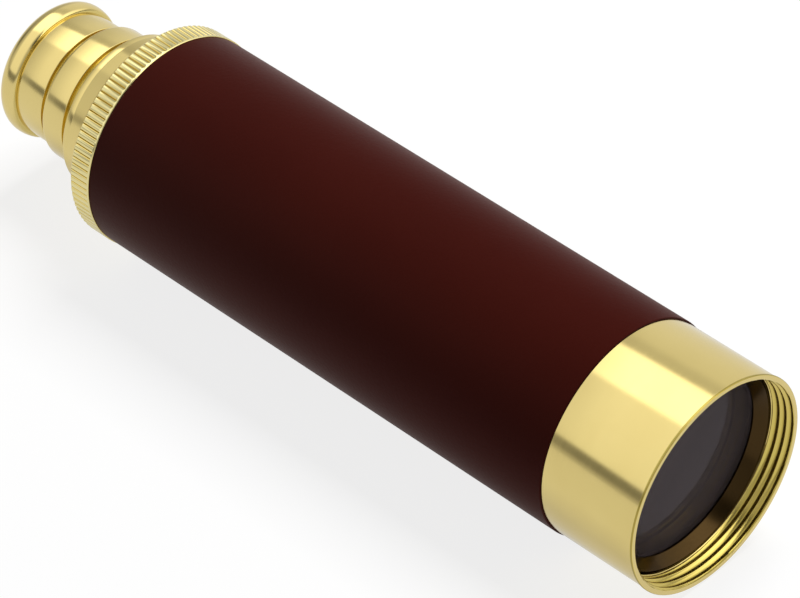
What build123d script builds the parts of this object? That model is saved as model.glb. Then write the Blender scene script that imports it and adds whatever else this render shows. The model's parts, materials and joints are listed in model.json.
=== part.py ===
from build123d import *
import os
from math import asin, cos, degrees, radians, sin, sqrt

# A three-draw brass pocket telescope, closed and lying on its side.
#
# Frame: millimetres. +X runs along the optical axis from the eyecup towards the objective, +Z is up,
# and the origin is midway along the closed telescope, on the surface that it lies on.
#
# Nearly every piece is turned about the optical axis, so its outline is drawn on the section plane,
# where the first coordinate is the distance behind the mouth and the second is the radius.
#
# Draws 1, 2 and 3 slide out backwards, towards -X, each by draw_travel. Draw 1 slides in the barrel,
# draw 2 in draw 1 and draw 3 in draw 2. A stop ring on each draw's front end meets the guide behind it.

os.makedirs("parts", exist_ok=True)

# ---------------------------------------------------------------------------- driving dimensions
closed_length = 158.0      # mouth to the back of the eyecup
draw_travel = 68.0         # how far each draw pulls out
running = 0.06             # radial clearance of a sliding fit
seat = 0.02                # clearance between pieces that are fixed to each other

# Stations along the axis, as distances behind the mouth
bead_back = 1.5            # lip bead of the ferrule
ferrule_back = 19.7
wrap_back = 125.9
knurl_back = 130.6
cap_back = 136.85
collar_1_back = 138.4
collar_2_front = 140.7
collar_2_back = 146.1
housing_front = 147.2
housing_back = 153.48

# Barrel radii
bead_radius = 20.15
ferrule_radius = 20.0
wrap_radius = 20.25
knurl_radius = 20.45
tube_radius = 19.48
tube_wall = 1.1

# Mouth thread, 39 mm nominal
thread_crest = 18.9
thread_root = 19.45
thread_pitch = 1.5
groove_mouth = 0.80        # width of the thread groove at the crest
groove_floor = 0.30        # and at the root
thread_back = 5.3          # end of the thread groove, in the wider bore behind the thread
thread_lead = 0.575        # how far before the mouth the groove starts
cutter_inside = 0.25       # how far the thread's cutter starts inside the crest
mouth_edge = 0.2           # bevel of the bore at the mouth

# Objective
lens_radius = 17.2
crown_vertex = 5.76
crown_thickness = 5.0
crown_front_curve = 110.0
cement_curve = 80.0
cement_gap = 0.03
flint_thickness = 2.0
ring_front = 4.7
ring_back = 6.95
ring_mouth = 18.3
ring_throat = 16.8
ring_land = 0.3            # plain land at the ring's throat
cell_back = 14.34
cell_aperture = 16.2

# Knurl
knurl_teeth = 100
knurl_depth = 0.38

# Sleeve behind the knurled rim
rim_back = 130.9
rim_back_radius = 19.6
sleeve_front_radius = 15.39
sleeve_back_radius = 15.2
cove_radius = 2.4          # of the hollow where the sleeve meets the rim

# Draws
draw_wall = 0.5
draw_1_radius = 14.2
draw_2_radius = 11.95
draw_3_radius = 10.8
collar_1_radius = 15.0
collar_2_radius = 13.03
housing_radius = 12.03
guide_1_front = 114.8      # front end of the guide that each stop ring meets
guide_2_front = 124.0
guide_3_front = 126.0
stop_length = 4.8

# Eyecup
roll_radius = 2.5
roll_ring_radius = 10.56   # radius of the circle that the roll's centre runs on
crown_radius = 4.1         # flatter stretch in front of the roll's top
crown_tilt = 20.0          # how far it turns forwards, in degrees
shoulder_radius = 0.9      # tight curve that brings it down to the housing
eye_hole = 4.5
dish_floor = 154.1
dish_sagitta = 1.1

# Erector
erector_lens_radius = 8.5
erector_curve = 30.0
erector_thickness = 3.6
erector_aperture = 7.6
erector_front = 54.0
erector_hole = 2.0

# Eyepiece
field_lens_radius = 9.2
field_curve = 22.0
field_vertex = 131.9
field_flat = 135.15
field_aperture = 8.4
field_stop_at = 141.0
field_stop_hole = 5.0
eye_lens_radius = 7.0
eye_curve = 13.0
eye_vertex = 149.45
eye_flat = 152.55
eye_aperture = 5.8

# ---------------------------------------------------------------------------- worked out from them
axis_height = knurl_radius
mouth_x = closed_length / 2
tube_bore = tube_radius - tube_wall
tube_seat = tube_radius + seat
draw_1_bore = draw_1_radius - draw_wall
draw_2_bore = draw_2_radius - draw_wall
draw_3_bore = draw_3_radius - draw_wall
roll_centre = closed_length - roll_radius
axial_gap = 0.03           # between faces that only meet

section = Plane(origin=(mouth_x, 0, axis_height), x_dir=(-1, 0, 0), z_dir=(0, 1, 0))
optical_axis = Axis((0, 0, axis_height), (1, 0, 0))


def step(front, back, inner, outer):
    """Add a plain turned step to the open sketch."""
    with Locations(((front + back) / 2, (inner + outer) / 2)):
        Rectangle(back - front, outer - inner)


def bevelled(front, back, inner, outer, bevel):
    """Add a turned step with both outer corners bevelled."""
    Polygon(
        (front, inner),
        (back, inner),
        (back, outer - bevel),
        (back - bevel, outer),
        (front + bevel, outer),
        (front, outer - bevel),
        align=None,
    )


def round_backed(front, back, inner, outer, bevel, rounding):
    """Add a turned step with its front outer corner bevelled and its back one rounded."""
    with BuildLine() as outline:
        corner = CenterArc((back - rounding, outer - rounding), rounding, 0, 90)
        Polyline(
            corner @ 1,
            (front + bevel, outer),
            (front, outer - bevel),
            (front, inner),
            (back, inner),
            corner @ 0,
        )
    make_face(outline.edges())


def sag(curve, radius):
    """How far a face of this radius of curvature falls back from its middle, at this radius."""
    return curve - sqrt(curve**2 - radius**2)


def round_front(vertex, curve):
    """Cut the open sketch to a convex face that looks forwards, with its middle at vertex."""
    with Locations((vertex + curve, 0)):
        Circle(curve, mode=Mode.INTERSECT)


def round_back(vertex, curve):
    """Cut the open sketch to a convex face that looks backwards, with its middle at vertex."""
    with Locations((vertex - curve, 0)):
        Circle(curve, mode=Mode.INTERSECT)


def stop_front(guide_front):
    """Front end of a draw: its stop ring's back face meets the guide when it is pulled right out."""
    return guide_front - axial_gap - draw_travel - stop_length


# ---------------------------------------------------------------------------- barrel: mouth end
# Ferrule: lip bead, plain band, and a thread in its mouth. Its wider bore, which ends at a shoulder
# behind the thread, takes the retaining ring, the lenses in their cell and the front of the tube.
ferrule_edge = 0.15
with BuildPart() as objective_ferrule:
    with BuildSketch(section):
        Polygon(
            (0, thread_crest + mouth_edge),
            (0, bead_radius - ferrule_edge),
            (ferrule_edge, bead_radius),
            (bead_back - ferrule_edge, bead_radius),
            (bead_back, ferrule_radius - ferrule_edge),
            (bead_back + ferrule_edge, ferrule_radius),
            (ferrule_back - ferrule_edge, ferrule_radius),
            (ferrule_back, ferrule_radius - ferrule_edge),
            (ferrule_back, tube_seat),
            (ring_front, tube_seat),
            (ring_front, thread_crest),
            (mouth_edge, thread_crest),
            align=None,
        )
    revolve(axis=optical_axis)
    with BuildLine() as thread_path:
        Helix(
            pitch=thread_pitch,
            height=thread_back + thread_lead,
            radius=thread_crest,
            center=(mouth_x + thread_lead, 0, axis_height),
            direction=(-1, 0, 0),
        )
    with BuildSketch(Plane(thread_path.line @ 0, x_dir=(-1, 0, 0), z_dir=thread_path.line % 0)):
        flank = (groove_mouth - groove_floor) / 2 / (thread_root - thread_crest)
        Polygon(
            (-groove_mouth / 2 - cutter_inside * flank, -cutter_inside),
            (groove_mouth / 2 + cutter_inside * flank, -cutter_inside),
            (groove_floor / 2, thread_root - thread_crest),
            (-groove_floor / 2, thread_root - thread_crest),
            align=None,
        )
    sweep(path=thread_path.line, is_frenet=True, mode=Mode.SUBTRACT)
objective_ferrule.part.label = "objective_ferrule"
export_step(objective_ferrule.part, "parts/objective_ferrule.step")

# Ring that holds the lenses in, with a coned front
with BuildPart() as lens_retaining_ring:
    with BuildSketch(section):
        Polygon(
            (ring_front + axial_gap, tube_radius),
            (ring_front + axial_gap, ring_mouth),
            (ring_back - ring_land, ring_throat),
            (ring_back, ring_throat),
            (ring_back, tube_radius),
            align=None,
        )
    revolve(axis=optical_axis)
lens_retaining_ring.part.label = "lens_retaining_ring"
export_step(lens_retaining_ring.part, "parts/lens_retaining_ring.step")

crown_back = crown_vertex + crown_thickness
with BuildPart() as crown_lens:
    with BuildSketch(section):
        step(crown_vertex, crown_back, 0, lens_radius)
        round_front(crown_vertex, crown_front_curve)
        round_back(crown_back, cement_curve)
    revolve(axis=optical_axis)
crown_lens.part.label = "crown_lens"
export_step(crown_lens.part, "parts/crown_lens.step")

flint_vertex = crown_back + cement_gap
flint_back = flint_vertex + flint_thickness
with BuildPart() as flint_lens:
    with BuildSketch(section):
        step(flint_vertex - sag(cement_curve, lens_radius), flint_back, 0, lens_radius)
        with Locations((flint_vertex - cement_curve, 0)):
            Circle(cement_curve, mode=Mode.SUBTRACT)
    revolve(axis=optical_axis)
flint_lens.part.label = "flint_lens"
export_step(flint_lens.part, "parts/flint_lens.step")

# Cup that the two lenses sit in. It stops against the front end of the main tube.
with BuildPart() as objective_cell:
    with BuildSketch(section):
        step(ring_back + axial_gap, cell_back, lens_radius + seat, tube_radius)
        step(flint_back + axial_gap, cell_back, cell_aperture, lens_radius + seat)
    revolve(axis=optical_axis)
objective_cell.part.label = "objective_cell"
export_step(objective_cell.part, "parts/objective_cell.step")

# ---------------------------------------------------------------------------- barrel: tube and cover
tube_front = cell_back + axial_gap
tube_back = 129.3          # inside the knurled cap
with BuildPart() as main_tube:
    with BuildSketch(section):
        step(tube_front, tube_back, tube_bore, tube_radius)
    revolve(axis=optical_axis)
main_tube.part.label = "main_tube"
export_step(main_tube.part, "parts/main_tube.step")

wrap_edge = 0.2
with BuildPart() as leather_wrap:
    with BuildSketch(section):
        bevelled(ferrule_back + seat, wrap_back - seat, tube_seat, wrap_radius, wrap_edge)
    revolve(axis=optical_axis)
leather_wrap.part.label = "leather_wrap"
export_step(leather_wrap.part, "parts/leather_wrap.step")

# Blackened disc with a flange, which stops light that glances along the tube
baffle_front = 34.0
baffle_hole = 12.5
baffle_sheet = 0.6
baffle_flange = 3.0
with BuildPart() as barrel_baffle:
    with BuildSketch(section):
        step(baffle_front, baffle_front + baffle_sheet, baffle_hole, tube_bore - seat)
        step(baffle_front, baffle_front + baffle_flange, tube_bore - baffle_sheet, tube_bore - seat)
    revolve(axis=optical_axis)
barrel_baffle.part.label = "barrel_baffle"
export_step(barrel_baffle.part, "parts/barrel_baffle.step")

# ---------------------------------------------------------------------------- barrel: rear cap
# Knurled rim over the end of the tube, then a cove down to a sleeve round the first draw
knurl_root = knurl_radius - knurl_depth
cap_bore = draw_1_radius + 2 * running
with BuildPart() as rear_knurled_cap:
    with BuildSketch(section):
        with BuildLine():
            Polyline(
                (rim_back, rim_back_radius),
                (knurl_back, knurl_root),
                (knurl_back - knurl_depth, knurl_radius),
                (wrap_back + knurl_depth, knurl_radius),
                (wrap_back, knurl_root),
                (wrap_back, tube_seat),
                (tube_back + axial_gap, tube_seat),
                (tube_back + axial_gap, cap_bore),
                (cap_back, cap_bore),
                (cap_back, sleeve_back_radius),
            )
            sleeve = Line((cap_back, sleeve_back_radius), (rim_back + cove_radius, sleeve_front_radius))
            cove = TangentArc(sleeve @ 1, (rim_back, sleeve_front_radius + cove_radius), tangent=sleeve % 1)
            Line(cove @ 1, (rim_back, rim_back_radius))
        make_face()
    revolve(axis=optical_axis)
    with BuildSketch(Plane(origin=(mouth_x - knurl_back, 0, axis_height), z_dir=(1, 0, 0))):
        with PolarLocations(knurl_radius, knurl_teeth, start_angle=180 / knurl_teeth):
            Rectangle(knurl_depth * sqrt(2), knurl_depth * sqrt(2), rotation=45)
    extrude(amount=knurl_back - wrap_back, mode=Mode.SUBTRACT)
rear_knurled_cap.part.label = "rear_knurled_cap"
export_step(rear_knurled_cap.part, "parts/rear_knurled_cap.step")

# Moulded spool that draw 1 slides in. Its front face is the draw's outer stop.
spool_wall = 0.95
spool_flange = 2.0
with BuildPart() as barrel_guide_bush:
    with BuildSketch(section):
        spool_bore = draw_1_radius + running
        step(guide_1_front, tube_back, spool_bore, spool_bore + spool_wall)
        step(guide_1_front, guide_1_front + spool_flange, spool_bore, tube_bore - seat)
        step(tube_back - spool_flange, tube_back, spool_bore, tube_bore - seat)
    revolve(axis=optical_axis)
barrel_guide_bush.part.label = "barrel_guide_bush"
export_step(barrel_guide_bush.part, "parts/barrel_guide_bush.step")

# ---------------------------------------------------------------------------- stop rings
# Each sits on the front end of its draw and slides in the tube around it.
stop_1_front = stop_front(guide_1_front)
stop_2_front = stop_front(guide_2_front)
stop_3_front = stop_front(guide_3_front)
stop_edge = 0.3

with BuildPart() as stop_ring_1:
    with BuildSketch(section):
        bevelled(
            stop_1_front, stop_1_front + stop_length, draw_1_radius + seat, tube_bore - running, stop_edge
        )
    revolve(axis=optical_axis)
stop_ring_1.part.label = "stop_ring_1"
export_step(stop_ring_1.part, "parts/stop_ring_1.step")

with BuildPart() as stop_ring_2:
    with BuildSketch(section):
        bevelled(
            stop_2_front, stop_2_front + stop_length, draw_2_radius + seat, draw_1_bore - running, stop_edge
        )
    revolve(axis=optical_axis)
stop_ring_2.part.label = "stop_ring_2"
export_step(stop_ring_2.part, "parts/stop_ring_2.step")

with BuildPart() as stop_ring_3:
    with BuildSketch(section):
        bevelled(
            stop_3_front, stop_3_front + stop_length, draw_3_radius + seat, draw_2_bore - running, stop_edge
        )
    revolve(axis=optical_axis)
stop_ring_3.part.label = "stop_ring_3"
export_step(stop_ring_3.part, "parts/stop_ring_3.step")

# ---------------------------------------------------------------------------- draw 1
flange_1_front = cap_back + axial_gap
with BuildPart() as draw_tube_1:
    with BuildSketch(section):
        step(stop_1_front, flange_1_front, draw_1_bore, draw_1_radius)
    revolve(axis=optical_axis)
draw_tube_1.part.label = "draw_tube_1"
export_step(draw_tube_1.part, "parts/draw_tube_1.step")

collar_edge = 0.12
collar_1_rounding = 0.3
with BuildPart() as collar_1:
    with BuildSketch(section):
        guide_bore = draw_2_radius + running
        step(guide_2_front, flange_1_front, guide_bore, draw_1_bore - seat)
        round_backed(
            flange_1_front, collar_1_back, guide_bore, collar_1_radius, collar_edge, collar_1_rounding
        )
    revolve(axis=optical_axis)
collar_1.part.label = "collar_1"
export_step(collar_1.part, "parts/collar_1.step")

# ---------------------------------------------------------------------------- draw 2
# The collar is a cup over the tube's end, with a sleeve inside that draw 3 slides in
groove_2_radius = 12.3
collar_2_rounding = 0.8
cup_thickness = 1.0
cup_floor = collar_2_back - cup_thickness
over_tube_2 = draw_2_radius + seat
with BuildPart() as draw_tube_2:
    with BuildSketch(section):
        step(stop_2_front, cup_floor, draw_2_bore, draw_2_radius)
    revolve(axis=optical_axis)
draw_tube_2.part.label = "draw_tube_2"
export_step(draw_tube_2.part, "parts/draw_tube_2.step")

with BuildPart() as collar_2:
    with BuildSketch(section):
        step(collar_1_back + axial_gap, collar_2_back, over_tube_2, groove_2_radius)
        round_backed(
            collar_2_front, collar_2_back, over_tube_2, collar_2_radius, collar_edge, collar_2_rounding
        )
        step(guide_3_front, collar_2_back, draw_3_radius + running, draw_2_bore - seat)
        step(cup_floor + seat, collar_2_back, draw_2_bore - seat, over_tube_2)
    revolve(axis=optical_axis)
collar_2.part.label = "collar_2"
export_step(collar_2.part, "parts/collar_2.step")

# ---------------------------------------------------------------------------- draw 3
neck_radius = 11.3         # of the groove between the housing and collar 2
housing_floor = 149.0      # where the tube's end stops in the housing
tube_stop = 0.3            # thickness of the shoulder that it stops on
nose_front = 130.0         # front of the housing's nose, which holds the eyepiece inside the tube
nose_bore = field_lens_radius + 2 * seat
with BuildPart() as draw_tube_3:
    with BuildSketch(section):
        step(stop_3_front, housing_floor, draw_3_bore, draw_3_radius)
    revolve(axis=optical_axis)
draw_tube_3.part.label = "draw_tube_3"
export_step(draw_tube_3.part, "parts/draw_tube_3.step")

lens_seat_back = eye_flat + axial_gap
with BuildPart() as eyepiece_housing:
    with BuildSketch(section):
        bevelled(housing_front, housing_back, draw_3_radius + seat, housing_radius, collar_edge)
        step(collar_2_back + axial_gap, housing_front, draw_3_radius + seat, neck_radius)
        step(nose_front, housing_back, nose_bore, draw_3_bore - seat)
        step(housing_floor + seat, housing_back, nose_bore, neck_radius)
        step(housing_floor + tube_stop, housing_back, eye_lens_radius + seat, nose_bore)
        step(lens_seat_back, housing_back, eye_aperture, eye_lens_radius + seat)
    revolve(axis=optical_axis)
eyepiece_housing.part.label = "eyepiece_housing"
export_step(eyepiece_housing.part, "parts/eyepiece_housing.step")

# Rolled rim with a dished inside and the eye hole in its floor. Its front rises steeply from the housing.
eyecup_front = housing_back + axial_gap
crown_centre = roll_ring_radius + roll_radius - crown_radius
shoulder_reach = crown_radius - shoulder_radius
shoulder_centre_d = roll_centre - shoulder_reach * sin(radians(crown_tilt))
shoulder_centre_r = crown_centre + shoulder_reach * cos(radians(crown_tilt))
shoulder_tilt = degrees(asin((shoulder_centre_d - eyecup_front) / shoulder_radius))
outward = 90               # angle that points away from the optical axis
inner_angle = -45          # where the roll runs into the dish
with BuildPart() as eyecup:
    with BuildSketch(section):
        with BuildLine():
            shoulder = CenterArc(
                (shoulder_centre_d, shoulder_centre_r),
                shoulder_radius,
                outward + crown_tilt,
                shoulder_tilt - crown_tilt,
            )
            CenterArc((roll_centre, crown_centre), crown_radius, outward, crown_tilt)
            roll = CenterArc((roll_centre, roll_ring_radius), roll_radius, outward, inner_angle - outward)
            SagittaArc(roll @ 1, (dish_floor, eye_hole), -dish_sagitta)
            Polyline((dish_floor, eye_hole), (eyecup_front, eye_hole), shoulder @ 1)
        make_face()
    revolve(axis=optical_axis)
eyecup.part.label = "eyecup"
export_step(eyecup.part, "parts/eyecup.step")

# ---------------------------------------------------------------------------- eyepiece, in the housing
with BuildPart() as field_lens:
    with BuildSketch(section):
        step(field_vertex, field_flat, 0, field_lens_radius)
        round_front(field_vertex, field_curve)
    revolve(axis=optical_axis)
field_lens.part.label = "field_lens"
export_step(field_lens.part, "parts/field_lens.step")

field_ring_inset = 0.2
field_ring_back = field_vertex + sag(field_curve, field_aperture) - axial_gap
with BuildPart() as field_lens_ring:
    with BuildSketch(section):
        step(nose_front + field_ring_inset, field_ring_back, field_aperture, nose_bore - seat)
    revolve(axis=optical_axis)
field_lens_ring.part.label = "field_lens_ring"
export_step(field_lens_ring.part, "parts/field_lens_ring.step")

stop_sheet = 0.5           # thickness of the field stop and of the erector's diaphragm
with BuildPart() as eyepiece_spacer_front:
    with BuildSketch(section):
        step(field_flat + axial_gap, field_stop_at, field_aperture, nose_bore - seat)
    revolve(axis=optical_axis)
eyepiece_spacer_front.part.label = "eyepiece_spacer_front"
export_step(eyepiece_spacer_front.part, "parts/eyepiece_spacer_front.step")

with BuildPart() as field_stop:
    with BuildSketch(section):
        step(field_stop_at, field_stop_at + stop_sheet, field_stop_hole, nose_bore - seat)
    revolve(axis=optical_axis)
field_stop.part.label = "field_stop"
export_step(field_stop.part, "parts/field_stop.step")

eye_ring_front = 148.3
with BuildPart() as eyepiece_spacer_rear:
    with BuildSketch(section):
        step(field_stop_at + stop_sheet, eye_ring_front, field_aperture, nose_bore - seat)
    revolve(axis=optical_axis)
eyepiece_spacer_rear.part.label = "eyepiece_spacer_rear"
export_step(eyepiece_spacer_rear.part, "parts/eyepiece_spacer_rear.step")

eye_ring_back = eye_vertex + sag(eye_curve, eye_aperture) - axial_gap
with BuildPart() as eye_lens_ring:
    with BuildSketch(section):
        step(eye_ring_front, housing_floor + tube_stop - axial_gap, eye_aperture, nose_bore - seat)
        step(eye_ring_front, eye_ring_back, eye_aperture, eye_lens_radius - seat)
    revolve(axis=optical_axis)
eye_lens_ring.part.label = "eye_lens_ring"
export_step(eye_lens_ring.part, "parts/eye_lens_ring.step")

with BuildPart() as eye_lens:
    with BuildSketch(section):
        step(eye_vertex, eye_flat, 0, eye_lens_radius)
        round_front(eye_vertex, eye_curve)
    revolve(axis=optical_axis)
eye_lens.part.label = "eye_lens"
export_step(eye_lens.part, "parts/eye_lens.step")

# ---------------------------------------------------------------------------- erector, in draw 3's front
# Two equal lenses about a small diaphragm, in a cell with a shoulder at its back
edge_sag = sag(erector_curve, erector_aperture)
erector_bore = erector_lens_radius + seat
erector_lens_inset = 1.0
erector_ring_inset = 0.3
front_vertex = erector_front + erector_lens_inset
spacer_length = 5.83
spacer_front_start = front_vertex + erector_thickness - edge_sag + axial_gap
diaphragm_at = spacer_front_start + spacer_length
spacer_rear_start = diaphragm_at + stop_sheet
rear_vertex = spacer_rear_start + spacer_length - edge_sag + axial_gap
shoulder = rear_vertex + erector_thickness - edge_sag + axial_gap
shoulder_length = 1.9

with BuildPart() as erector_cell:
    with BuildSketch(section):
        step(erector_front, shoulder + shoulder_length, erector_bore, draw_3_bore - seat)
        step(shoulder, shoulder + shoulder_length, erector_aperture, erector_bore)
    revolve(axis=optical_axis)
erector_cell.part.label = "erector_cell"
export_step(erector_cell.part, "parts/erector_cell.step")

with BuildPart() as erector_retaining_ring:
    with BuildSketch(section):
        ring_end = front_vertex + edge_sag - axial_gap
        step(erector_front + erector_ring_inset, ring_end, erector_aperture, erector_lens_radius - seat)
    revolve(axis=optical_axis)
erector_retaining_ring.part.label = "erector_retaining_ring"
export_step(erector_retaining_ring.part, "parts/erector_retaining_ring.step")

with BuildPart() as erector_lens_front:
    with BuildSketch(section):
        step(front_vertex, front_vertex + erector_thickness, 0, erector_lens_radius)
        round_front(front_vertex, erector_curve)
        round_back(front_vertex + erector_thickness, erector_curve)
    revolve(axis=optical_axis)
erector_lens_front.part.label = "erector_lens_front"
export_step(erector_lens_front.part, "parts/erector_lens_front.step")

with BuildPart() as erector_spacer_front:
    with BuildSketch(section):
        step(spacer_front_start, diaphragm_at, erector_aperture, erector_lens_radius)
    revolve(axis=optical_axis)
erector_spacer_front.part.label = "erector_spacer_front"
export_step(erector_spacer_front.part, "parts/erector_spacer_front.step")

with BuildPart() as erector_diaphragm:
    with BuildSketch(section):
        step(diaphragm_at, spacer_rear_start, erector_hole, erector_lens_radius)
    revolve(axis=optical_axis)
erector_diaphragm.part.label = "erector_diaphragm"
export_step(erector_diaphragm.part, "parts/erector_diaphragm.step")

with BuildPart() as erector_spacer_rear:
    with BuildSketch(section):
        step(spacer_rear_start, spacer_rear_start + spacer_length, erector_aperture, erector_lens_radius)
    revolve(axis=optical_axis)
erector_spacer_rear.part.label = "erector_spacer_rear"
export_step(erector_spacer_rear.part, "parts/erector_spacer_rear.step")

with BuildPart() as erector_lens_rear:
    with BuildSketch(section):
        step(rear_vertex, rear_vertex + erector_thickness, 0, erector_lens_radius)
        round_front(rear_vertex, erector_curve)
        round_back(rear_vertex + erector_thickness, erector_curve)
    revolve(axis=optical_axis)
erector_lens_rear.part.label = "erector_lens_rear"
export_step(erector_lens_rear.part, "parts/erector_lens_rear.step")
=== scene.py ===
import json
from math import asin, atan2, ceil, cos, degrees, floor, pi, radians, sin, sqrt, tan

import bmesh
import bpy
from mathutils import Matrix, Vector


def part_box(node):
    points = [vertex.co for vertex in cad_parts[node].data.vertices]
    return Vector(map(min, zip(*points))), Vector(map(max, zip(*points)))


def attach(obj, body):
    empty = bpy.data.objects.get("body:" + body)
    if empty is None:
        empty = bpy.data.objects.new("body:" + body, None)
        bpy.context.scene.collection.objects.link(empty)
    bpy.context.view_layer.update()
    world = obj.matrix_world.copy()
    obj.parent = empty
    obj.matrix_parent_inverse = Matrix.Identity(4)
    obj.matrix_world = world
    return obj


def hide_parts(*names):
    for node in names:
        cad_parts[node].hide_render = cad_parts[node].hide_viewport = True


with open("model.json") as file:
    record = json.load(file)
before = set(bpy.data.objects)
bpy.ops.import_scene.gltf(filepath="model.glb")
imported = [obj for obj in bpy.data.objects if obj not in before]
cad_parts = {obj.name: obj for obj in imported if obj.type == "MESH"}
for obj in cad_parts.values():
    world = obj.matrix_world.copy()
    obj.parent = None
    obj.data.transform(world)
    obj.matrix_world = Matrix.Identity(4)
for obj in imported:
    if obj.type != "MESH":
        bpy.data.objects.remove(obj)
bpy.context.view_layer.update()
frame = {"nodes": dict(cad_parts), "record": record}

# The looks of a brass pocket telescope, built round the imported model.
#
# Almost every piece is turned about the optical axis. Its outline is a list of (x, radius) points in
# millimetres, with x along the optical axis in the row frame, towards the objective. Angles about the
# axis run from straight up towards +Y.

MM = 0.001
MICRON = 0.000001
TINY = 1e-6                                # millimetres


# ------------------------------------------------------------------------------- measures of the frame
def low_x(node):
    """Where a node starts along the axis, in millimetres."""
    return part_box(node)[0].x / MM


def high_x(node):
    """Where a node ends along the axis, in millimetres."""
    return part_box(node)[1].x / MM


def outer(node):
    """Outer radius of a node that is round about the optical axis."""
    low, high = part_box(node)
    return (high.y - low.y) / 2 / MM


axis_z = sum(corner.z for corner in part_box("main_tube")) / 2
mounts = {mount["name"]: mount for mount in frame["record"]["mounts"]}
mouth = high_x("objective_ferrule")
seat = 0.02                                # clearance between pieces that are fixed to each other
gap = 0.03                                 # between faces that only meet
running = 0.06                             # clearance of the tubes in their collars
plain_edge = 0.12                          # rounding of an ordinary outer edge
tube_seat = outer("main_tube") + seat
draw_wall = 0.5                            # of the three draw tubes


# ------------------------------------------------------------------------------- outlines
def arc(centre, radius, first, last, steps):
    """Points of an arc, from its angles in degrees: 0 is along +x, 90 is outwards."""
    angles = [radians(first + (last - first) * k / steps) for k in range(steps + 1)]
    return [Vector(centre) + radius * Vector((cos(a), sin(a))) for a in angles]


def swept(centre, start, end, steps):
    """Points of the arc round a centre from start to end, the short way."""
    first, last = start - centre, end - centre
    begin = atan2(first.y, first.x)
    turn = atan2(first.cross(last), first.dot(last))
    return arc(centre, first.length, degrees(begin), degrees(begin + turn), steps)


def rounded(corners, steps=5):
    """Points of an outline whose corners are (x, radius, rounding)."""
    points = []
    for i, (x, r, rounding) in enumerate(corners):
        corner = Vector((x, r))
        if rounding == 0:
            points.append(corner)
            continue
        before = (Vector(corners[i - 1][:2]) - corner).normalized()
        after = (Vector(corners[(i + 1) % len(corners)][:2]) - corner).normalized()
        half = before.angle(after) / 2
        centre = corner + (before + after).normalized() * (rounding / sin(half))
        reach = rounding / tan(half)
        points += swept(centre, corner + before * reach, corner + after * reach, steps)
    return points


def bowed(start, end, sagitta, steps):
    """Points of an arc from start to end that bows by sagitta to the left of its chord."""
    start, end = Vector(start), Vector(end)
    chord = end - start
    left = Vector((-chord.y, chord.x)).normalized()
    radius = (chord.length**2 / 4 + sagitta**2) / (2 * abs(sagitta))
    side = 1 if sagitta > 0 else -1
    centre = (start + end) / 2 + left * (sagitta - side * radius)
    return swept(centre, start, end, steps)


def smooth_step(low, high, value):
    """0 below low, 1 above high, and a smooth rise between them."""
    share = min(1.0, max(0.0, (value - low) / (high - low)))
    return share * share * (3 - 2 * share)


# ------------------------------------------------------------------------------- turned pieces
def evenly(count):
    """Angles of this many equal steps round the axis."""
    return [2 * pi * k / count for k in range(count)]


def add_point(form, x, r, angle, wear_and_shade=0.0):
    """Add a point of a turned surface. Its mark goes from -1, rubbed bright by wear, to 1, the darkest
    painted shade.
    """
    point = form.verts.new((x * MM, r * sin(angle) * MM, axis_z + r * cos(angle) * MM))
    point[form.verts.layers.float["wear_and_shade"]] = wear_and_shade
    return point


def new_form():
    form = bmesh.new()
    form.verts.layers.float.new("wear_and_shade")
    return form


def lathe(form, outline, angles, reshape=None, wear_and_shade=None, closed=True):
    """Turn an outline. reshape(x, r, angle) changes a point's radius; the mark function, called with (x, r,
    reshaped), gives its wear or painted shade.
    """
    count = len(angles)
    rings = []
    for x, r in outline:
        if r < TINY:
            rings.append([add_point(form, x, 0.0, 0.0)] * count)
            continue
        ring = []
        for angle in angles:
            here = reshape(x, r, angle) if reshape else r
            ring.append(add_point(form, x, here, angle, wear_and_shade(x, r, here) if wear_and_shade else 0.0))
        rings.append(ring)
    followers = rings[1:] + rings[:1] if closed else rings[1:]
    for ring, following in zip(rings, followers):
        for k in range(count):
            after = (k + 1) % count
            distinct = list(dict.fromkeys((ring[k], ring[after], following[after], following[k])))
            if len(distinct) > 2:
                form.faces.new(distinct)


def finished(name, form, sharp=32):
    """Object made from a form, smooth except across edges that turn by more than sharp degrees."""
    mesh = bpy.data.meshes.new(name)
    bmesh.ops.recalc_face_normals(form, faces=form.faces)
    form.to_mesh(mesh)
    form.free()
    mesh.shade_smooth()
    mesh.set_sharp_from_angle(angle=radians(sharp))
    piece = bpy.data.objects.new(name, mesh)
    bpy.context.scene.collection.objects.link(piece)
    return piece


def turned(name, outline, angles=evenly(256), reshape=None, wear_and_shade=None, closed=True):
    """Object turned from an outline."""
    form = new_form()
    lathe(form, outline, angles, reshape, wear_and_shade, closed)
    return finished(name, form)


def fit_out(piece, body, nodes, material):
    """Put a new piece on its body, in place of its CAD nodes, with its finish."""
    piece.data.materials.append(material)
    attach(piece, body)
    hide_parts(*nodes)


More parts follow.
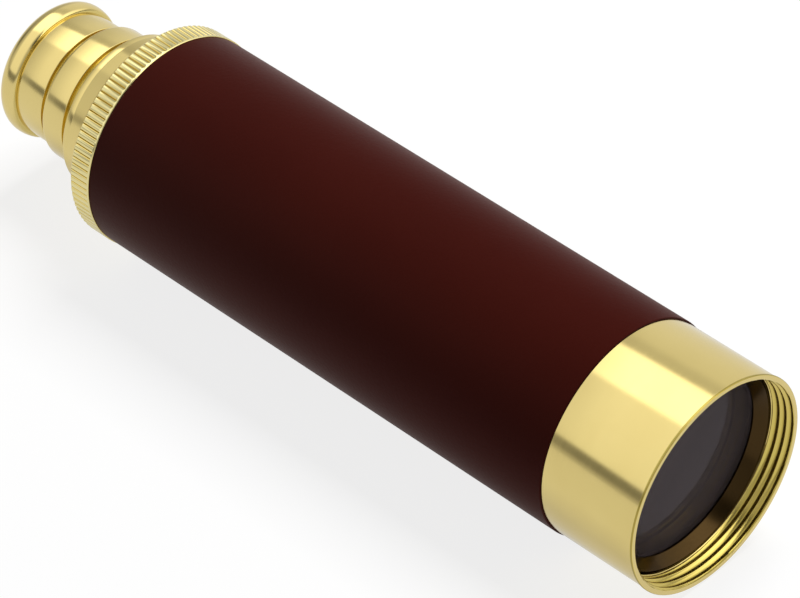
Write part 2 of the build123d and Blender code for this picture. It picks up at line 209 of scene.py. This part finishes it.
# ------------------------------------------------------------------------------- material helpers
class Graph:
    """Short names for building the node tree of a material or a world."""

    def __init__(self, owner):
        owner.use_nodes = True
        self.owner = owner
        self.tree = owner.node_tree

    def node(self, kind, inputs=None, **settings):
        """Add a node. An input is a value, or the socket that feeds it."""
        made = self.tree.nodes.new("ShaderNode" + kind)
        for key, value in settings.items():
            setattr(made, key, value)
        for key, value in (inputs or {}).items():
            self.put(made.inputs[key], value)
        return made

    def put(self, socket, value):
        if isinstance(value, bpy.types.NodeSocket):
            self.tree.links.new(value, socket)
        else:
            socket.default_value = value

    def math(self, operation, *values):
        made = self.node("Math", operation=operation)
        for socket, value in zip(made.inputs, values):
            self.put(socket, value)
        return made.outputs[0]

    def noise(self, vector, scale, detail=2.0, roughness=0.5):
        """Noise from 0 to 1, mostly near 0.5."""
        made = self.node(
            "TexNoise", {"Vector": vector, "Scale": scale, "Detail": detail, "Roughness": roughness}
        )
        return made.outputs["Fac"]

    def remap(self, value, low, high, to_low, to_high):
        """Carry the range from low to high over to another range, and stop at its ends."""
        made = self.node(
            "MapRange",
            {"Value": value, "From Min": low, "From Max": high, "To Min": to_low, "To Max": to_high},
        )
        return made.outputs["Result"]

    def blend(self, share, first, second):
        """A mix of two colours: the first where share is 0, the second where it is 1."""
        made = self.node("Mix", data_type="RGBA")
        self.put(made.inputs["Factor"], share)
        self.put(made.inputs["A"], first)
        self.put(made.inputs["B"], second)
        return made.outputs["Result"]

    def spot(self):
        """Coordinates on the piece, in metres."""
        return self.node("TexCoord").outputs["Object"]

    def around_axis(self):
        """Coordinates about the optical axis: x, radius and angle."""
        parts = self.node("SeparateXYZ", {"Vector": self.spot()})
        up = self.math("SUBTRACT", parts.outputs["Z"], axis_z)
        across = parts.outputs["Y"]
        squares = self.math("ADD", self.math("MULTIPLY", across, across), self.math("MULTIPLY", up, up))
        return parts.outputs["X"], self.math("SQRT", squares), self.math("ARCTAN2", across, up)

    def vector(self, x, y, z):
        return self.node("CombineXYZ", {"X": x, "Y": y, "Z": z}).outputs["Vector"]

    def bump(self, height, distance):
        return self.node("Bump", {"Height": height, "Distance": distance}).outputs["Normal"]

    def finish(self, **values):
        """Set the shader's inputs, with _ for a space in their names, and return the material."""
        shader = self.tree.nodes["Principled BSDF"]
        for key, value in values.items():
            self.put(shader.inputs[key.replace("_", " ")], value)
        return self.owner


def new_material(name):
    return Graph(bpy.data.materials.new(name))


def rgb(red, green, blue):
    return (red, green, blue, 1.0)


def grey(level):
    return rgb(level, level, level)


# ------------------------------------------------------------------------------- materials
brass_rubbed = rgb(0.86, 0.76, 0.360)
brass_bright = rgb(0.82, 0.66, 0.260)
brass_deep = rgb(0.78, 0.62, 0.235)
# The next two colours paint shade into hollows, grooves and creases
brass_painted_shade = rgb(0.69, 0.545, 0.135)
brass_painted_deep_shade = rgb(0.25, 0.185, 0.028)


def brass(name, roughness, marks):
    """Polished brass, rubbed bright by wear or darkened with painted shade as its points say, with faint
    turning marks round the axis.
    """
    g = new_material(name)
    x, radius, angle = g.around_axis()
    rings = g.noise(g.vector(x, radius, 0.0), scale=9000.0, detail=3.0, roughness=0.6)
    cloud = g.noise(g.spot(), scale=60.0, detail=3.0)
    round_about = g.vector(x, radius, g.math("MULTIPLY", angle, 0.004))
    smear = g.noise(round_about, scale=700.0, detail=4.0, roughness=0.65)
    wear_and_shade = g.node("Attribute", attribute_name="wear_and_shade").outputs["Fac"]
    clean = g.blend(g.remap(cloud, 0.35, 0.65, 0.0, 1.0), brass_bright, brass_deep)
    worn = g.blend(g.remap(wear_and_shade, -1.0, 0.0, 1.0, 0.0), clean, brass_rubbed)
    # A positive mark paints shade: a deeper brass up to 0.5, then a dark brass
    shaded = g.blend(g.remap(wear_and_shade, 0.0, 0.5, 0.0, 1.0), worn, brass_painted_shade)
    polish = g.remap(smear, 0.3, 0.7, roughness * 0.8, roughness * 1.25)
    return g.finish(
        Base_Color=g.blend(g.remap(wear_and_shade, 0.5, 1.0, 0.0, 1.0), shaded, brass_painted_deep_shade),
        Metallic=1.0,
        Roughness=g.math("ADD", polish, g.remap(wear_and_shade, 0.0, 1.0, 0.0, 0.15)),
        Normal=g.bump(rings, marks),
    )


def drawn_tube(name, roughness):
    """Brass of a drawn tube, with hair lines along it from sliding in its guide."""
    g = new_material(name)
    x, radius, angle = g.around_axis()
    along = g.vector(g.math("MULTIPLY", x, 0.02), g.math("MULTIPLY", angle, 0.012), radius)
    lines = g.noise(along, scale=5000.0, detail=4.0, roughness=0.7)
    cloud = g.noise(g.spot(), scale=45.0, detail=3.0)
    return g.finish(
        Base_Color=g.blend(g.remap(cloud, 0.35, 0.65, 0.0, 1.0), brass_bright, brass_deep),
        Metallic=1.0,
        Roughness=g.remap(lines, 0.3, 0.7, roughness * 0.8, roughness * 1.5),
        Normal=g.bump(lines, 2 * MICRON),
    )


def leather(name):
    """Smooth, matt, dark maroon leather with a fine, shallow grain."""
    g = new_material(name)
    spot = g.spot()
    cells = g.node("TexVoronoi", {"Vector": spot, "Scale": 1500.0, "Smoothness": 0.6}, feature="SMOOTH_F1")
    pores = g.noise(spot, scale=3500.0, detail=4.0, roughness=0.6)
    cloud = g.noise(spot, scale=35.0, detail=4.0, roughness=0.55)
    pebbles = g.math("MULTIPLY", cells.outputs["Distance"], 0.7)
    grain = g.math("ADD", pebbles, g.math("MULTIPLY", pores, 0.5))
    colour = g.blend(
        g.remap(cloud, 0.3, 0.7, 0.0, 1.0), rgb(0.050, 0.0052, 0.0030), rgb(0.045, 0.0044, 0.0026)
    )
    return g.finish(
        Base_Color=colour,
        Roughness=g.remap(pores, 0.3, 0.7, 0.36, 0.46),
        Specular_IOR_Level=0.02,
        Specular_Tint=rgb(1.0, 0.85, 0.75),
        Sheen_Weight=0.09,
        Sheen_Roughness=0.5,
        Sheen_Tint=rgb(1.0, 0.85, 0.75),
        Normal=g.bump(grain, 20 * MICRON),
    )


def black_metal(name, colour, roughness, metallic=0.0):
    """Blackened metal with a slight unevenness."""
    g = new_material(name)
    speckle = g.noise(g.spot(), scale=2500.0, detail=3.0, roughness=0.6)
    return g.finish(
        Base_Color=g.blend(speckle, rgb(*colour), rgb(*[c * 0.7 for c in colour])),
        Metallic=metallic,
        Roughness=g.remap(speckle, 0.3, 0.7, roughness * 0.9, roughness * 1.15),
        Normal=g.bump(speckle, 2 * MICRON),
    )


def glass(name, tint, index, coating=(1.0, 1.0, 1.0), clarity=1.0):
    """Clear optical glass with a coating's tint, and a trace of dust in the gloss."""
    g = new_material(name)
    dust = g.noise(g.spot(), scale=400.0, detail=5.0, roughness=0.7)
    return g.finish(
        Base_Color=g.blend(dust, rgb(*tint), rgb(*[c * 0.94 for c in tint])),
        Roughness=g.remap(dust, 0.55, 0.8, 0.0, 0.03),
        IOR=index,
        Specular_Tint=rgb(*coating),
        Transmission_Weight=clarity,
    )


def moulded(name, colour):
    """Dark moulded nylon."""
    g = new_material(name)
    speckle = g.noise(g.spot(), scale=1800.0, detail=3.0)
    return g.finish(
        Base_Color=g.blend(speckle, rgb(*colour), rgb(*[c * 0.8 for c in colour])),
        Roughness=g.remap(speckle, 0.3, 0.7, 0.45, 0.6),
        Normal=g.bump(speckle, 6 * MICRON),
    )


polished = brass("polished_brass", roughness=0.12, marks=0.5 * MICRON)
tube_brass = drawn_tube("drawn_brass_tube", roughness=0.14)
maroon = leather("barrel_leather")
matt_black = black_metal("blackened_metal", (0.012, 0.012, 0.012), roughness=0.6)
ring_black = black_metal("black_ring", (0.065, 0.038, 0.013), roughness=0.18, metallic=1.0)
coated = glass("coated_glass", (0.56, 0.48, 0.50), index=1.12, coating=(1.0, 0.84, 1.0), clarity=0.91)
weak_glass = glass("cemented_glass", (0.75, 0.72, 0.78), index=1.06)
clear = glass("clear_glass", (0.95, 0.97, 0.97), index=1.50)
nylon = moulded("guide_nylon", (0.03, 0.03, 0.03))

# ------------------------------------------------------------------------------- objective ferrule
# A thin lip, a plain band, and the thread in its mouth, whose rows follow the helix
lip_radius = outer("objective_ferrule")
lip_back = mouth - 0.40
lip_rounding = 0.20
lip_groove = 0.06                          # depth of the fine groove behind the lip
ferrule_radius = lip_radius - 0.15
ferrule_back = low_x("objective_ferrule")
ring_front = high_x("lens_retaining_ring")
thread_crest = mounts["mouth_thread"]["dims"]["r_mm"]
lip_inner = thread_crest + 0.45            # where the flat of the lip ends and a bevel leads in
bevel_slope = 1.8                          # radius that the bevel loses for its depth
thread_depth = 0.55
thread_pitch = 1.5
thread_middle = mouth - 0.67               # where the first groove crosses the +Y side
groove_half_width = 0.70                   # at the crest
front_fade, back_fade = 0.12, 0.2          # lengths over which the groove runs out at its ends
thread_front = mouth - 0.03
thread_back = mouth - mounts["mouth_thread"]["dims"]["length_mm"] - back_fade
rows_per_turn = 24
thread_shade = 0.45                         # painted shade: the thread is darker than the outside
root_shade = 0.3                            # and painted shade still deeper at the bottom of its groove
lip_shade = 0.75                            # the edges of the lip get the darkest painted shade


def groove_share(turns):
    """How deep the hollow groove is at this many turns from its middle, from 0 to 1."""
    off = abs(turns - round(turns)) * thread_pitch
    return max(0.0, 1.0 - (off / groove_half_width) ** 2)


def bevel_radius(x):
    """Radius of the bevel that leads into the mouth."""
    return lip_inner - bevel_slope * (mouth - x)


def threaded_wall(form, angles):
    """Add the wall of the mouth, from a plain ring on its bevel to a plain ring at its back."""
    start = floor(((thread_middle - thread_front) / thread_pitch - 1.0) * rows_per_turn)
    end = ceil(((thread_middle - thread_back) / thread_pitch + 0.5) * rows_per_turn)
    rows = []
    for row in range(start, end + 1):
        points = []
        for angle in angles:
            turns = row / rows_per_turn
            x = thread_middle - thread_pitch * (turns + (angle - pi / 2) / (2 * pi))
            x = min(thread_front, max(thread_back, x))
            fade = smooth_step(0.0, front_fade, thread_front - x)
            fade *= smooth_step(0.0, back_fade, x - thread_back)
            share = groove_share(turns) * fade
            wall = thread_crest + thread_depth * share
            # Painted shade inside the mouth: the thread, the root of its groove and the bevel at the lip
            # are darkened
            dark = thread_shade * fade + root_shade * smooth_step(0.5, 1.0, share)
            if wall < bevel_radius(x):
                wall = bevel_radius(x)
                dark = lip_shade * smooth_step(0.0, 0.05, thread_front - x)
            points.append(add_point(form, x, wall, angle, dark))
        rows.append(points)
    last = len(rows) - 1
    for j in range(last):
        for k in range(len(angles) - 1):
            form.faces.new((rows[j][k], rows[j][k + 1], rows[j + 1][k + 1], rows[j + 1][k]))
        # Once round the axis, a row meets the one that is a turn further on.
        near = rows[min(j + rows_per_turn, last)][0]
        far = rows[min(j + 1 + rows_per_turn, last)][0]
        form.faces.new(list(dict.fromkeys((rows[j][-1], near, far, rows[j + 1][-1]))))


def painted_lip_shadow(x, r, here):
    """Painted shadow: a thin dark line round the outer edge of the lip."""
    return lip_shade if lip_back - 0.01 < x < mouth - 0.02 and r > ferrule_radius - 0.2 else 0.0


ferrule_form = new_form()
ferrule_angles = evenly(384)
ferrule_outline = [Vector((thread_front, bevel_radius(thread_front)))] + rounded(
    [
        (mouth, lip_inner, 0.01),
        (mouth, lip_radius, lip_rounding),
        (lip_back, lip_radius, 0.06),
        (lip_back, ferrule_radius - lip_groove, 0.02),
        (lip_back - 0.10, ferrule_radius, 0.03),
        (ferrule_back, ferrule_radius, plain_edge),
        (ferrule_back, tube_seat, 0.0),
        (ring_front, tube_seat, 0.0),
        (ring_front, thread_crest, 0.0),
        (thread_back, thread_crest, 0.0),
    ]
)
lathe(ferrule_form, ferrule_outline, ferrule_angles, wear_and_shade=painted_lip_shadow, closed=False)
threaded_wall(ferrule_form, ferrule_angles)
bmesh.ops.remove_doubles(ferrule_form, verts=ferrule_form.verts, dist=1e-7)
ferrule = finished("ferrule_brass", ferrule_form, sharp=50)
fit_out(ferrule, "barrel", ["objective_ferrule"], polished)

# ------------------------------------------------------------------------------- leather cover
# Its edges butt along a seam that lies underneath, on the side away from the light
wrap_front, wrap_back = high_x("leather_wrap"), low_x("leather_wrap")
wrap_radius = outer("leather_wrap")
wrap_rounding = 0.18
wrap_outline = rounded(
    [
        (wrap_front, tube_seat, 0.0),
        (wrap_front, wrap_radius, wrap_rounding),
        (wrap_back, wrap_radius, wrap_rounding),
        (wrap_back, tube_seat, 0.0),
    ]
)
seam_angle = radians(168)
seam_depth = 0.16
seam_reach = 0.3                           # how far the leather dips on either side of the seam
seam_offsets = (-0.4, -0.25, -0.15, -0.08, -0.03, 0.0, 0.03, 0.08, 0.15, 0.25, 0.4)
seam_zone = max(seam_offsets) + 0.05       # the even steps keep clear of the finer ones by the seam
cover_angles = [angle for angle in evenly(360) if abs(angle - seam_angle) * wrap_radius > seam_zone]
cover_angles = sorted(cover_angles + [seam_angle + offset / wrap_radius for offset in seam_offsets])


def seamed(x, r, angle):
    """Sink the cover's surface along its seam."""
    if r < wrap_radius - 2 * seam_depth:
        return r
    across = abs(angle - seam_angle) * wrap_radius
    return r - seam_depth * (1.0 - smooth_step(0.02, seam_reach, across))


cover = turned("leather_cover", wrap_outline, cover_angles, reshape=seamed)
fit_out(cover, "barrel", ["leather_wrap"], maroon)

# ------------------------------------------------------------------------------- knurled rear cap
cap_front, cap_back = high_x("rear_knurled_cap"), low_x("rear_knurled_cap")
knurl_radius = outer("rear_knurled_cap")
knurl_back = cap_front - 4.7
knurl_chamfer = 0.38
knurl_land = 0.34                          # length of the plain rim in front of the teeth
land_drop, land_edge = 0.02, 0.12          # the plain rim lies lower than the teeth, and has this bevel
tooth_ramp = 0.12                          # length over which the teeth rise from the plain rim
crown_fall = 0.80                          # a rounded tip falls by this times its pitches squared
groove_depth = 0.14                        # of the groove beside the rounded tips
groove_edge = 0.38                         # the groove starts this many pitches from the tip
knurl_teeth = 100
steps_per_tooth = 16
tube_back = low_x("main_tube")
cap_bore = outer("draw_tube_1") + 0.12
rim_back, rim_back_radius = cap_front - 5.0, 19.6
sleeve_front_radius, sleeve_back_radius = 15.39, 15.2
cove_radius = 2.4                          # of the hollow where the sleeve meets the rim


def knurled(x, r, angle):
    """Cut the straight teeth, with rounded tips and soft grooves, into the rim."""
    if r < knurl_radius - knurl_chamfer - TINY:
        return r
    across = angle / (2 * pi) * knurl_teeth
    off = abs(across - round(across))
    groove = groove_depth * smooth_step(groove_edge, 0.5, off)
    crown = crown_fall * off * off
    depth = (groove + crown) * smooth_step(0.0, tooth_ramp, cap_front - knurl_land - x)
    return min(r, knurl_radius - depth)


def knurl_wear_and_shade(x, r, here):
    """The tips of the teeth are rubbed bright by wear, and the bottoms of the grooves are darkened with
    painted shade.
    """
    if r < knurl_radius - 0.05:
        return 0.0
    depth = knurl_radius - here
    rubbed = 1.0 - smooth_step(0.03, 0.14, depth)
    dark = 0.85 * smooth_step(0.14, 0.30, depth)
    return dark - rubbed


cap_outline = rounded(
    [
        (cap_front, tube_seat, 0.0),
        (cap_front, knurl_radius - land_drop - land_edge, 0.04),
        (cap_front - land_edge, knurl_radius - land_drop, 0.05),
        (cap_front - knurl_land, knurl_radius - land_drop, 0.0),
        (cap_front - knurl_land - 0.04, knurl_radius, 0.0),
        (cap_front - knurl_land - tooth_ramp - 0.01, knurl_radius, 0.0),
        (knurl_back + knurl_chamfer, knurl_radius, 0.12),
        (knurl_back, knurl_radius - knurl_chamfer, 0.05),
        (rim_back, rim_back_radius, 0.05),
    ],
    steps=3,
)
cap_outline += rounded(
    [
        (rim_back, rim_back_radius - 0.1, 0.0),
        (rim_back, sleeve_front_radius, cove_radius),
        (cap_back, sleeve_back_radius, 0.08),
        (cap_back, cap_bore, 0.0),
        (tube_back - gap, cap_bore, 0.0),
        (tube_back - gap, tube_seat, 0.0),
    ],
    steps=12,
)
cap_angles = evenly(knurl_teeth * steps_per_tooth)
rear_cap = turned("rear_cap_brass", cap_outline, cap_angles, reshape=knurled, wear_and_shade=knurl_wear_and_shade)
fit_out(rear_cap, "barrel", ["rear_knurled_cap"], polished)

# ------------------------------------------------------------------------------- draws' collars
collar_1_back, collar_1_radius = low_x("collar_1"), outer("collar_1")
bore_1 = outer("draw_tube_2") + running
inside_1 = outer("draw_tube_1") - draw_wall - seat
collar_1 = turned(
    "collar_1_brass",
    rounded(
        [
            (high_x("collar_1"), bore_1, 0.1),
            (high_x("collar_1"), inside_1, 0.1),
            (cap_back - gap, inside_1, 0.0),
            (cap_back - gap, collar_1_radius, plain_edge),
            (collar_1_back, collar_1_radius, 0.3),
            (collar_1_back, bore_1, 0.05),
        ]
    ),
)
fit_out(collar_1, "draw_1", ["collar_1"], polished)

collar_2_back, collar_2_radius = low_x("collar_2"), outer("collar_2")
collar_2_front = collar_2_back + 5.4
neck_2_radius = 12.3
over_tube_2 = outer("draw_tube_2") + seat
bore_2 = outer("draw_tube_3") + running
inside_2 = outer("draw_tube_2") - draw_wall - seat
cup_thickness = 1.0
neck_shade, foot_shade = 0.4, 0.15           # painted shade on a neck, and less on the foot of the face behind it


def painted_neck_shade(face, face_radius, neck_radius, neck_bore):
    """Make the painted shade for a neck in front of a face: the neck is dark, and a little so the face's
    foot.
    """

    def wear_and_shade(x, r, here):
        if x < face - 0.01 or r > face_radius - 0.1 or r < neck_bore - 0.01:
            return 0.0
        return neck_shade if r < neck_radius + 0.1 else foot_shade

    return wear_and_shade


collar_2 = turned(
    "collar_2_brass",
    rounded(
        [
            (collar_1_back - gap, over_tube_2, 0.0),
            (collar_1_back - gap, neck_2_radius, 0.04),
            (collar_2_front, neck_2_radius, 0.03),
            (collar_2_front, collar_2_radius, 0.15),
            (collar_2_back, collar_2_radius, 0.8),
            (collar_2_back, bore_2, 0.05),
            (high_x("collar_2"), bore_2, 0.1),
            (high_x("collar_2"), inside_2, 0.1),
            (collar_2_back + cup_thickness, inside_2, 0.0),
            (collar_2_back + cup_thickness, over_tube_2, 0.0),
        ],
        steps=8,
    ),
    wear_and_shade=painted_neck_shade(collar_2_front, collar_2_radius, neck_2_radius, over_tube_2),
)
fit_out(collar_2, "draw_2", ["collar_2"], polished)

# ------------------------------------------------------------------------------- draw tubes
for number, body in (("1", "draw_1"), ("2", "draw_2"), ("3", "draw_3")):
    node = "draw_tube_" + number
    tube_outline = rounded(
        [
            (high_x(node), outer(node) - draw_wall, 0.08),
            (high_x(node), outer(node), 0.15),
            (low_x(node), outer(node), 0.0),
            (low_x(node), outer(node) - draw_wall, 0.0),
        ]
    )
    tube = turned("draw_" + number + "_tube_brass", tube_outline)
    fit_out(tube, body, [node], tube_brass)

# ------------------------------------------------------------------------------- eyepiece housing
housing_back, housing_radius = low_x("eyepiece_housing"), outer("eyepiece_housing")
housing_front = housing_back + 6.28
neck_3_radius = 11.3
over_tube_3 = outer("draw_tube_3") + seat
inside_3 = outer("draw_tube_3") - draw_wall - seat
field_seat, eye_seat, eye_window = 9.24, 7.02, 5.8
eye_seat_front, eye_seat_back = housing_back + 4.18, housing_back + 0.9
housing = turned(
    "eyepiece_housing_brass",
    rounded(
        [
            (collar_2_back - gap, over_tube_3, 0.0),
            (collar_2_back - gap, neck_3_radius, 0.05),
            (housing_front, neck_3_radius, 0.05),
            (housing_front, housing_radius, 0.22),
            (housing_back, housing_radius, 0.04),
            (housing_back, eye_window, 0.0),
            (eye_seat_back, eye_window, 0.0),
            (eye_seat_back, eye_seat, 0.0),
            (eye_seat_front, eye_seat, 0.0),
            (eye_seat_front, field_seat, 0.0),
            (high_x("eyepiece_housing"), field_seat, 0.1),
            (high_x("eyepiece_housing"), inside_3, 0.1),
            (low_x("draw_tube_3") - seat, inside_3, 0.0),
            (low_x("draw_tube_3") - seat, over_tube_3, 0.0),
        ]
    ),
    wear_and_shade=painted_neck_shade(housing_front, housing_radius, neck_3_radius, over_tube_3),
)
fit_out(housing, "draw_3", ["eyepiece_housing"], polished)

# ------------------------------------------------------------------------------- eyecup
# A tight shoulder and a flatter crown in front of the roll's top, then the roll and the dish
cup_front, cup_back, cup_radius = high_x("eyecup"), low_x("eyecup"), outer("eyecup")
roll_radius, crown_radius, shoulder_radius = 2.5, 4.1, 0.9
crown_tilt = 20.0
roll_end = 225                             # angle on the roll, in degrees, where the dish starts
eye_hole, hole_bevel = 4.5, 0.05
dish_sagitta = 1.1
dish_floor = cup_front - 0.60
# Painted shade in the crease where the eyecup meets the housing
crease_shade = 0.2
roll_centre = Vector((cup_back + roll_radius, cup_radius - roll_radius))
crown_centre = Vector((roll_centre.x, cup_radius - crown_radius))
forward = Vector((sin(radians(crown_tilt)), cos(radians(crown_tilt))))
shoulder_centre = crown_centre + (crown_radius - shoulder_radius) * forward
shoulder_start = 90 - degrees(asin((cup_front - shoulder_centre.x) / shoulder_radius))
cup_outline = [Vector((cup_front, eye_hole))]
cup_outline += arc(shoulder_centre, shoulder_radius, shoulder_start, 90 - crown_tilt, 12)
cup_outline += arc(crown_centre, crown_radius, 90 - crown_tilt, 90, 8)[1:]
cup_outline += arc(roll_centre, roll_radius, 90, roll_end, 36)[1:]
cup_outline += bowed(cup_outline[-1], (dish_floor, eye_hole + hole_bevel), dish_sagitta, 24)[1:]
cup_outline += [Vector((dish_floor + hole_bevel, eye_hole))]


def painted_crease_shade(x, r, here):
    """Painted shade: the foot of the shoulder, in the crease against the housing, is dark."""
    return crease_shade * smooth_step(-0.35, -0.05, x - cup_front) if r > housing_radius - 0.5 else 0.0


eyecup = turned("eyecup_brass", cup_outline, wear_and_shade=painted_crease_shade)
fit_out(eyecup, "draw_3", ["eyecup"], polished)

# ------------------------------------------------------------------------------- objective's glass and ring
ring_back, ring_outer = low_x("lens_retaining_ring"), outer("lens_retaining_ring")
ring_mouth, ring_throat, ring_land = 18.3, 16.8, 0.3
lens_ring = turned(
    "lens_ring_black",
    rounded(
        [
            (ring_front, ring_outer, 0.03),
            (ring_front, ring_mouth, 0.06),
            (ring_back + ring_land, ring_throat, 0.06),
            (ring_back, ring_throat, 0.0),
            (ring_back, ring_outer, 0.0),
        ]
    ),
    evenly(384),
)
fit_out(lens_ring, "barrel", ["lens_retaining_ring"], ring_black)


def lens_face(vertex, curve, rim, steps=24):
    """Points of a convex face that looks forwards, from its middle to its rim."""
    radii = [rim * k / steps for k in range(steps + 1)]
    return [(vertex - (curve - sqrt(curve**2 - r**2)), r) for r in radii]


crown_thickness = 5.0
front_curve, back_curve = 110.0, 80.0
crown_front, crown_rim = high_x("crown_lens"), outer("crown_lens")
crown_back = crown_front - crown_thickness
front_face = lens_face(crown_front, front_curve, crown_rim)
back_face = [(2 * crown_back - x, r) for x, r in lens_face(crown_back, back_curve, crown_rim)]
crown = turned("crown_lens_glass", front_face + back_face[::-1], closed=False)
fit_out(crown, "barrel", ["crown_lens"], coated)

# ------------------------------------------------------------------------------- finishes of the CAD nodes
cad_finishes = {
    "flint_lens": weak_glass,
    "barrel_guide_bush": nylon,
    "stop_ring_1": nylon,
    "stop_ring_2": nylon,
    "stop_ring_3": nylon,
    "erector_cell": tube_brass,
    "field_lens": clear,
    "eye_lens": clear,
    "erector_lens_front": clear,
    "erector_lens_rear": clear,
}
for name, node in frame["nodes"].items():
    node.data.materials.clear()
    node.data.materials.append(cad_finishes.get(name, matt_black))

# ------------------------------------------------------------------------------- studio
# A light table: the pale floor glows a little, so that shadows on it stay faint
floor_half = 0.35
floor_mesh = bpy.data.meshes.new("floor")
floor_mesh.from_pydata(
    [
        (-floor_half, -floor_half, 0),
        (floor_half, -floor_half, 0),
        (floor_half, floor_half, 0),
        (-floor_half, floor_half, 0),
    ],
    [],
    [(0, 1, 2, 3)],
)
floor_object = bpy.data.objects.new("floor", floor_mesh)
bpy.context.scene.collection.objects.link(floor_object)
table = new_material("pale_floor")
seen = table.node("LightPath").outputs["Is Camera Ray"]
floor_mesh.materials.append(
    table.finish(
        Base_Color=grey(0.2),
        Roughness=0.9,
        Specular_IOR_Level=0.0,
        Emission_Color=grey(1.0),
        Emission_Strength=table.remap(seen, 0.0, 1.0, 0.62, 0.82),
    )
)

# A light tent round the optical axis: a soft box overhead, pale walls, and darker gaps between them.
# Its middle, where the soft box is, and its ends differ. Each stop is (angle from straight up towards +Y
# in degrees, radiance).
tent_middle = [
    (-180, 0.80),
    (-100, 0.78),
    (-92, 0.45),
    (-89, 0.22),
    (-82, 0.24),
    (-79, 1.00),
    (-40, 1.08),
    (-12, 1.12),
    (-8, 1.95),
    (29.5, 1.95),
    (34, 0.64),
    (43, 0.66),
    (52, 0.80),
    (75, 0.84),
    (180, 0.80),
]
tent_front = [
    (-180, 0.60),
    (-95, 0.55),
    (-88, 0.40),
    (-60, 0.50),
    (-40, 0.55),
    (-28, 0.12),
    (-4, 0.12),
    (2, 1.95),
    (45, 1.95),
    (76, 1.40),
    (80, 0.22),
    (100, 0.25),
    (110, 0.60),
    (180, 0.60),
]
tent_behind = [
    (-180, 0.75),
    (-95, 0.72),
    (-88, 0.45),
    (-70, 0.66),
    (-40, 0.62),
    (-10, 0.55),
    (20, 0.45),
    (40, 0.45),
    (90, 0.55),
    (100, 0.62),
    (180, 0.75),
]
tent_rear = [
    (-180, 0.60),
    (-95, 0.60),
    (-88, 0.50),
    (-70, 0.42),
    (-40, 0.25),
    (-10, 0.18),
    (20, 0.30),
    (40, 0.40),
    (90, 0.45),
    (100, 0.60),
    (180, 0.60),
]
tent_scale = 2.0
front_from, front_to = 0.0, 0.75           # where the middle gives way to the ends, along the axis
behind_from, behind_to = -0.56, -0.72
rear_from, rear_to = -0.80, -0.94
world = bpy.data.worlds.new("studio")
bpy.context.scene.world = world
world.cycles.sampling_method = "NONE"
sky = Graph(world)
direction = sky.node("SeparateXYZ", {"Vector": sky.node("TexCoord").outputs["Generated"]}).outputs
turn = sky.remap(sky.math("ARCTAN2", direction["Y"], direction["Z"]), -pi, pi, 0.0, 1.0)


def walls_of(stops):
    """Colour of the tent's walls, from its stops. They are all placed before they get their colours."""
    ramp = sky.node("ValToRGB", {"Fac": turn})
    while len(ramp.color_ramp.elements) < len(stops):
        ramp.color_ramp.elements.new(0.5)
    for element, (angle, _) in zip(ramp.color_ramp.elements, stops):
        element.position = (angle + 180) / 360
    for element, (_, radiance) in zip(ramp.color_ramp.elements, stops):
        element.color = grey(radiance / tent_scale)
    return ramp.outputs["Color"]


def along(start, end):
    """0 to 1 from one place to the other along the axis."""
    return sky.remap(direction["X"], start, end, 0.0, 1.0)


walls = sky.blend(along(front_from, front_to), walls_of(tent_middle), walls_of(tent_front))
walls = sky.blend(along(behind_from, behind_to), walls, walls_of(tent_behind))
walls = sky.blend(along(rear_from, rear_to), walls, walls_of(tent_rear))

# Seen directly it is plain white, and it adds only a little to the light on rough surfaces.
path = sky.node("LightPath").outputs
ambient = grey(0.12 / tent_scale)
white = grey(1.0 / tent_scale)
lit = sky.blend(path["Is Diffuse Ray"], walls, ambient)
background = sky.tree.nodes["Background"]
sky.put(background.inputs["Color"], sky.blend(path["Is Camera Ray"], lit, white))
sky.put(background.inputs["Strength"], tent_scale)

# A broad lamp overhead, a little towards +Y
lamp_height, lamp_lean, lamp_size, lamp_power = 1.2, radians(25), 0.6, 13.8
lamp = bpy.data.lights.new("overhead_lamp", "AREA")
lamp.size = lamp_size
lamp.energy = lamp_power
lamp_object = bpy.data.objects.new("overhead_lamp", lamp)
lamp_object.location = (0.0, lamp_height * sin(lamp_lean), axis_z + lamp_height * cos(lamp_lean))
lamp_object.rotation_euler = (-lamp_lean, 0.0, 0.0)
lamp_object.visible_glossy = False
lamp_object.visible_camera = False
bpy.context.scene.collection.objects.link(lamp_object)

# ------------------------------------------------------------------------------- camera
azimuth, elevation = radians(44.27), radians(40.78)
aim = Vector((0.0107, -0.0025, axis_z))
distance = 0.7755
camera_data = bpy.data.cameras.new("camera")
camera_data.lens = 207.9
camera_data.sensor_width = 36.0
camera_data.clip_start = 0.05
camera_data.clip_end = 20.0
camera = bpy.data.objects.new("camera", camera_data)
bpy.context.scene.collection.objects.link(camera)
back = Vector((sin(azimuth) * cos(elevation), -cos(azimuth) * cos(elevation), sin(elevation)))
camera.location = aim + back * distance
camera.rotation_euler = (-back).to_track_quat("-Z", "Y").to_euler()
bpy.context.scene.camera = camera
bpy.context.scene.view_settings.view_transform = "Standard"
